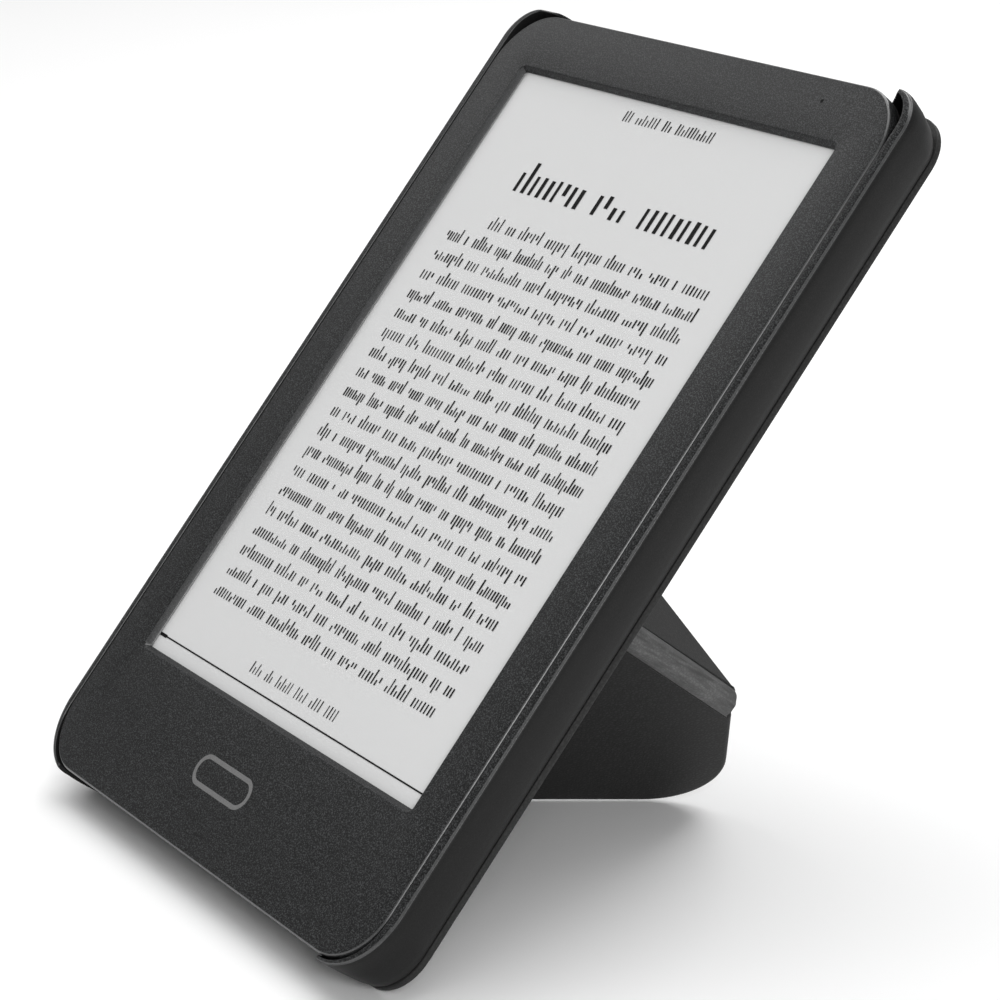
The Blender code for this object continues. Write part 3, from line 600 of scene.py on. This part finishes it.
# rim faces: the flat top takes the bezel's grain, and the sloping edges take the lighter edge finish, a painted
# highlight
for poly in tray_o.data.polygons:
    c_ = UNDEV @ poly.center
    up_ = poly.normal.dot(ZAX)
    if c_.z > -0.62 * MM and up_ > 0.25:
        poly.material_index = 1 if up_ > 0.86 else 2


def plate_outline(d):
    hx, L, TOP, BOT, R = 56.3 - d, -59.5 + d, 81.3 - d, -80.0 + d, 8.2 - d
    q = 4 - d
    out = []
    for (cx, cy, r, a0) in ((hx - R, TOP - R, R, 0.0), (L + q, TOP - q, q, 0.5), (L + q, BOT + q, q, 1.0),
                            (hx - R, BOT + R, R, 1.5)):
        for i in range(17):
            a = math.pi * (a0 + i / 32)
            out.append((cx + r * math.cos(a), cy + r * math.sin(a)))
    return out


bm = loft_bm([(plate_outline(0.30), -9.75), (plate_outline(0.10), -9.82), (plate_outline(0.0), -10.02),
              (plate_outline(0.0), -10.72), (plate_outline(0.10), -10.90), (plate_outline(0.34), -11.0)], DEV)
finish_mesh("back_plate_skin", carve(bm, [hole(6.4)]), "cover_leather", "case", replaces=("back_plate",))

# ==========================================================================
# Cover
GAP, PANEL_T = 0.25, 2.2
COVER_X, COVER_Y, W, H, R = -56.5, -75.9, 116.3, 157.0, 14.0
AXIS_Z = -11.15 - 0.15 - PANEL_T - 0.15
CREASE_GAP, HINGE_TRIM, APEX_CUT, RIDGE_V1 = 0.35, 4.8, 3.2, 29.3
RIDGE_SLOPE = math.radians(50.5)
HEADING = math.radians(58.17)
P0 = V3((14.2, 0, 0))
GAMMA = math.atan(math.tan(HEADING / 2) / math.cos(LEAN))
E1 = V3((math.cos(HEADING), math.sin(HEADING) * math.cos(LEAN), -math.sin(HEADING) * math.sin(LEAN)))
c3 = V3((math.cos(GAMMA), math.sin(GAMMA), 0))
perp = E1 - c3 * E1.dot(c3)
THETA = math.atan2(-perp.z, perp.dot(V3((math.sin(GAMMA), -math.cos(GAMMA), 0))))
tg, tb = math.tan(GAMMA), math.tan(RIDGE_SLOPE)
UV = (RIDGE_V1 + W * tb + P0.x * tg) / (tg + tb)
VX = V3((UV, (UV - P0.x) * tg, 0))
C1 = V3((W, RIDGE_V1, 0))
q3 = Quaternion(c3, THETA)


def mirrored(delta):
    L = (W - UV) / math.cos(delta)
    return VX + V3((-L * math.cos(delta), L * math.sin(delta), 0)), VX.y + L * math.sin(delta)


def miss(delta):
    e, v3 = mirrored(delta)
    return (e - (P0 + q3 @ (C1 - P0))).length - (v3 - RIDGE_V1)


lo, hi = math.radians(5), math.radians(70)
for _ in range(60):
    md = (lo + hi) / 2
    if miss(lo) * miss(md) <= 0:
        hi = md
    else:
        lo = md
DELTA = (lo + hi) / 2
E3 = V3((W, VX.y + (W - UV) * math.tan(DELTA), 0))
d1 = (C1 - VX).normalized()
want = P0 + q3.inverted() @ (mirrored(DELTA)[0] - P0)


def turn_between(axis, a, b):
    a = (a - axis * a.dot(axis)).normalized()
    b = (b - axis * b.dot(axis)).normalized()
    return math.atan2(axis.dot(a.cross(b)), a.dot(b))


PHI = turn_between(d1, E3 - VX, want - VX)
q1 = Quaternion(d1, PHI)
T4 = lambda p: Matrix.Translation(Vector(p) * MM)
M_BASE = DEV @ T4((COVER_X, COVER_Y, AXIS_Z))
M_FOOT = M_BASE @ T4(P0) @ q3.to_matrix().to_4x4()
M_RIDGE = M_FOOT @ T4(VX - P0) @ q1.to_matrix().to_4x4()
M_FLAP = M_BASE @ T4(VX) @ Quaternion((0, 1, 0), math.pi).to_matrix().to_4x4()


def clip(poly, p, direction, off):
    d = direction.normalized()
    side = lambda q: (q[0] - p.x) * -d.y + (q[1] - p.y) * d.x - off
    out = []
    for i, a in enumerate(poly):
        b = poly[(i + 1) % len(poly)]
        sa, sb = side(a), side(b)
        if sa >= 0:
            out.append(a)
        if (sa >= 0) != (sb >= 0):
            f = sa / (sa - sb)
            out.append((a[0] + (b[0] - a[0]) * f, a[1] + (b[1] - a[1]) * f))
    return out


arc = [math.pi / 2 * i / 24 for i in range(25)]
OUTLINE = [(0.0, 0.0)] + [(W - R + R * math.sin(a), R - R * math.cos(a)) for a in arc] \
    + [(W - R + R * math.cos(a), H - R + R * math.sin(a)) for a in arc] + [(0.0, H)]
up = V3((0, 1, 0))
d3 = (E3 - VX).normalized()


def panel(which):
    p = OUTLINE
    if which == "base":
        p = clip(p, P0, c3, CREASE_GAP)
        p = clip(p, VX, up, CREASE_GAP)
        h = (GAMMA - math.pi / 2) / 2
        md = V3((-math.cos(h), -math.sin(h), 0))
    elif which == "foot":
        p = clip(p, VX, -c3, CREASE_GAP)
        p = clip(p, C1, VX - C1, CREASE_GAP)
        md = -c3 + d1
    elif which == "ridge":
        p = clip(p, VX, C1 - VX, CREASE_GAP)
        p = clip(p, E3, VX - E3, HINGE_TRIM)
        md = d1 + d3
    else:
        p = clip(p, VX, E3 - VX, CREASE_GAP)
        p = clip(p, V3((UV, H, 0)), -up, CREASE_GAP)
        md = d3 + up
    md = md.normalized()
    return clip(p, VX + md * APEX_CUT, V3((md.y, -md.x, 0)), 0.0)


def soften(poly, r, n=6):
    """Rounds a convex outline's sharp corners and drops repeated points."""
    pts = []
    for p in poly:
        if not pts or math.dist(p, pts[-1]) > 0.02:
            pts.append(p)
    if math.dist(pts[0], pts[-1]) < 0.02:
        pts.pop()
    out = []
    k = len(pts)
    for i in range(k):
        a, b, c = Vector(pts[i - 1]), Vector(pts[i]), Vector(pts[(i + 1) % k])
        u, v = (a - b), (c - b)
        if u.length < 1e-6 or v.length < 1e-6:
            continue
        ang = u.angle(v)
        if ang > math.radians(168):
            out.append(tuple(b))
            continue
        d = min(r / math.tan(ang / 2), u.length * 0.45, v.length * 0.45)
        s, e = b + u.normalized() * d, b + v.normalized() * d
        for j in range(n + 1):
            t = j / n
            q = s * (1 - t) ** 2 + b * 2 * t * (1 - t) + e * t * t
            out.append(tuple(q))
    return out


def inset(poly, d):
    """Moves a convex counter-clockwise outline inwards."""
    out = []
    k = len(poly)
    for i in range(k):
        a, b, c = Vector(poly[i - 1]), Vector(poly[i]), Vector(poly[(i + 1) % k])
        n1 = Vector((-(b - a).y, (b - a).x)).normalized()
        n2 = Vector((-(c - b).y, (c - b).x)).normalized()
        m_ = (n1 + n2).normalized()
        out.append(tuple(b + m_ * d / max(0.4, m_.dot(n1))))
    return out


PANELS = {"base": (M_BASE, V3((0, 0, 0))), "foot": (M_FOOT, P0), "ridge": (M_RIDGE, VX), "flap": (M_FLAP, VX)}
for which, (M, org) in PANELS.items():
    poly = soften([(x - org.x, y - org.y) for x, y in panel(which)], 0.6)
    if sum(poly[i - 1][0] * poly[i][1] - poly[i][0] * poly[i - 1][1] for i in range(len(poly))) < 0:
        poly = poly[::-1]
    ring = lambda d, w: (inset(poly, d), w)
    skin = loft_bm([ring(0.50, 0.48), ring(0.18, 0.52), ring(0.04, 0.66), ring(0.0, 0.90), ring(0.0, 1.70),
                    ring(0.05, 1.96), ring(0.17, 2.16), ring(0.36, 2.29), ring(0.62, 2.345), ring(0.9, 2.35)], M)
    finish_mesh(which + "_leather", skin, "cover_leather", which,
                replaces=(which + "_skin", which + "_board"), sharp=45)
    lin = loft_bm([ring(0.85, 0.50), ring(0.85, 0.32), ring(0.90, 0.22), ring(1.02, 0.165), ring(1.2, 0.15)], M)
    finish_mesh(which + "_microfibre", lin, "cover_microfibre", which,
                replaces=(which + "_lining",), sharp=45)


def fold_band(name, M, p, axis, a_dir, sweep, r0, r1, s0, s1, ext_a, ext_b, ns=60, na=14, ripple=0.0,
              slot="cover_leather", mat=None):
    """Flexible strip wrapped round a fold line, running on along both sides."""
    axis = axis.normalized()
    a_dir = a_dir.normalized()
    sg = 1 if sweep > 0 else -1
    rot = lambda f: Quaternion(axis, sweep * f)
    b_dir = rot(1) @ a_dir
    t_a = -sg * axis.cross(a_dir)
    t_b = sg * axis.cross(b_dir)
    path = [(t_a * ext_a, a_dir, 0.0), (t_a * ext_a * 0.9, a_dir, 0.0), (t_a * ext_a * 0.4, a_dir, 0.0)]
    path += [(V3((0, 0, 0)), rot(i / na) @ a_dir, i / na) for i in range(na + 1)]
    path += [(t_b * ext_b * 0.4, b_dir, 1.0), (t_b * ext_b * 0.9, b_dir, 1.0), (t_b * ext_b, b_dir, 1.0)]
    wob = np.random.default_rng(5).uniform(-1, 1, (4, 8))
    bm = bmesh.new()
    rows = []
    n = len(path)
    across = -t_a
    flat_u = [-ext_a, -ext_a * 0.9, -ext_a * 0.4] + [0.7 * (i / na - 0.5) for i in range(na + 1)] \
        + [ext_b * 0.4, ext_b * 0.9, ext_b]
    beg = [s0(u, across) if callable(s0) else s0 for u in flat_u]
    fin = [s1(u, across) if callable(s1) else s1 for u in flat_u]
    for k in range(ns + 1):
        row = []
        for i, (o, d, f) in enumerate(path):
            s = beg[i] + (fin[i] - beg[i]) * k / ns
            r = r1
            if i in (0, n - 1):
                r = r1 - 0.12
            if 0 < f < 1 and ripple:
                u = s / 3.1
                shift = sum(wob[0][j] * math.sin(u * (j + 1) * 0.37 + wob[1][j] * 3) for j in range(4)) * 0.05
                env = math.sin(math.pi * f)
                r += ripple * env * (math.cos(2 * math.pi * 2.5 * (f - 0.5 + shift)) * 0.7 - 0.55
                                     + 0.35 * math.sin(u * 1.7 + wob[2][2] * 3) * math.sin(u * 0.61 + 1.0))
            row.append(p + axis * s + o + d * r)
        for i, (o, d, f) in reversed(list(enumerate(path))):
            s = beg[i] + (fin[i] - beg[i]) * k / ns
            row.append(p + axis * s + o + d * (r0 + (0.08 if i in (0, n - 1) else 0.0)))
        rows.append([bm.verts.new(M @ (q * MM)) for q in row])
    m_ = len(rows[0])
    for a, b in zip(rows[:-1], rows[1:]):
        for i in range(m_):
            j = (i + 1) % m_
            bm.faces.new((a[i], a[j], b[j], b[i]))
    for row in (rows[0], rows[-1]):
        for i in range(n - 1):
            bm.faces.new((row[i], row[i + 1], row[m_ - 2 - i], row[m_ - 1 - i]))
    o = finish_mesh(name, bm, slot, None, mat=mat, sharp=50)
    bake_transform(o)
    return o


# creases in the leather run along the fold
run = (M_FOOT.to_3x3() @ d1).normalized()
CREASE_MAP.vector_type = 'TEXTURE'
CREASE_MAP.inputs["Rotation"].default_value = run.to_track_quat('X', 'Z').to_euler()
CREASE_MAP.inputs["Scale"].default_value = (7.0, 1.0, 1.0)
zhat = V3((0, 0, 1))
L_c3 = (VX - P0).length
L_d1 = (C1 - VX).length
# the three fold bands take the crease finish, whose paler colour is a painted highlight
fold_band("crease_base_foot", M_BASE, P0, c3, zhat, THETA, 1.72, 2.33,
          lambda u, n: (0.9 - n.y * u) / c3.y, L_c3 - 3.7, 1.3, 1.3, ripple=0.10, mat=CREASE_PAINTED_HIGHLIGHT)
fold_band("crease_foot_ridge", M_FOOT, VX - P0, d1, zhat, PHI, 1.72, 2.33, 3.7,
          lambda u, n: (W - 0.8 - UV - n.x * u) / d1.x, 1.3, 1.3, ripple=0.12, mat=CREASE_PAINTED_HIGHLIGHT)
fold_band("crease_base_flap", M_BASE, VX, up, zhat, math.pi, 1.72, 2.33, 3.7,
          H - VX.y - 0.6, 1.3, 1.3, ripple=0.06, mat=CREASE_PAINTED_HIGHLIGHT)

# spine: three bends between plate, two strips and the base panel
SX, SZ, LINK = -61.0, -11.15, 6.95
H1, H2 = V3((SX, 0, SZ)), V3((COVER_X - 1.45, 0, SZ))
half = (H2.x - H1.x) / 2
drop = math.sqrt(LINK ** 2 - half ** 2)
HM = V3(((H1.x + H2.x) / 2, 0, SZ - drop))
tilt = math.atan2(half, drop)
yax = V3((0, -1, 0))
S0, S1 = 73.8, -78.5
out_a = V3((-math.cos(tilt), 0, -math.sin(tilt)))
fold_band("spine_bend_case", DEV, H1, yax, zhat, math.pi / 2 + tilt, 0.15, 1.15, -78.3, 73.2, 2.6, 0.9,
          na=10, ripple=0.0)
fold_band("spine_bend_middle", DEV, HM, yax, out_a, math.pi - 2 * tilt, 0.15, 1.15, -77.0, 73.2, 0.7, 0.7,
          na=14, ripple=0.0)
prof = [(0.15, -1.0), (0.15, -0.42), (0.22, -0.24), (0.40, -0.16), (1.95, -0.18), (1.95, -1.05), (1.20, -1.02)]
bm = bmesh.new()
rows = [[bm.verts.new(DEV @ (V3((H2.x + x, y, H2.z + z)) * MM)) for x, z in prof] for y in
        [-73.6 + (78.3 + 73.6) * k / 30 for k in range(31)]]
for a, b in zip(rows[:-1], rows[1:]):
    for i in range(len(prof)):
        j = (i + 1) % len(prof)
        bm.faces.new((a[i], a[j], b[j], b[i]))
bm.faces.new(rows[0])
bm.faces.new(rows[-1])
o = finish_mesh("spine_bend_cover", bm, "cover_leather", None)
tuple(DEV @ (V3((H2.x + 0.6, 0, H2.z - 0.9)) * MM))
tuple(DEV @ (V3((H2.x + 1.5, 0, H2.z - 0.6)) * MM))
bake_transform(o)

# ==========================================================================
# Stage: floor, lights, camera
floor_mat = bpy.data.materials.new("floor_paper")
floor_mat.use_nodes = True
fb = next(n for n in floor_mat.node_tree.nodes if n.type == 'BSDF_PRINCIPLED')
fb.inputs["Base Color"].default_value = (0.93, 0.93, 0.93, 1)
fb.inputs["Roughness"].default_value = 0.9
fb.inputs["Specular IOR Level"].default_value = 0.1
me = bpy.data.meshes.new("floor")
me.from_pydata([(-8, -8, 0), (8, -8, 0), (8, 8, 0), (-8, 8, 0)], [], [(0, 1, 2, 3)])
me.materials.append(floor_mat)
floor = bpy.data.objects.new("floor", me)
floor.location.z = -0.0001
bpy.context.scene.collection.objects.link(floor)

world = bpy.data.worlds.new("studio")
world.use_nodes = True
bg = world.node_tree.nodes.get("Background") or world.node_tree.nodes.new("ShaderNodeBackground")
bg.inputs["Color"].default_value = (1, 1, 1, 1)
bg.inputs["Strength"].default_value = 0.36
bpy.context.scene.world = world


def lamp(name, loc, aim, size, power, size_y=None):
    d = bpy.data.lights.new(name, 'AREA')
    d.shape = 'RECTANGLE'
    d.size = size
    d.size_y = size_y or size
    d.energy = power
    o = bpy.data.objects.new(name, d)
    o.location = loc
    o.rotation_euler = (Vector(aim) - Vector(loc)).to_track_quat('-Z', 'Y').to_euler()
    bpy.context.scene.collection.objects.link(o)
    return o


lamp("overhead_soft", (-0.3, 0.5, 2.2), (0, 0, 0.05), 2.4, 35.0)
lamp("left_key", (-0.42, -0.08, 0.42), (0, 0.03, 0.10), 0.22, 0.72)
lamp("rear_strip", (-0.5, 0.9, 0.8), (0, 0, 0.10), 0.9, 4.0, 0.3)
lamp("front_soft", DEV @ Vector((0.58, 0.03, 0.32)), (0, 0, 0.07), 0.22, 2.0)

RC = np.array([[0.52747096, 0.53868781, -0.65695497], [0.24050103, -0.83632414, -0.49266742],
               [-0.81482123, 0.10186941, -0.57069167]])
tc = np.array([-8.8107, -9.0769, 546.2303])
C = -RC.T @ tc * MM
cam_local = Matrix([[RC[0][0], -RC[1][0], -RC[2][0], C[0]], [RC[0][1], -RC[1][1], -RC[2][1], C[1]],
                    [RC[0][2], -RC[1][2], -RC[2][2], C[2]], [0, 0, 0, 1]])
cd = bpy.data.cameras.new("camera")
cd.lens = 3292.51 * 36.0 / 1000.0
cd.sensor_width = 36.0
cd.clip_start = 0.01
cam = bpy.data.objects.new("camera", cd)
cam.matrix_world = DEV @ cam_local
bpy.context.scene.collection.objects.link(cam)
bpy.context.scene.camera = cam
bpy.context.scene.view_settings.view_transform = 'Standard'
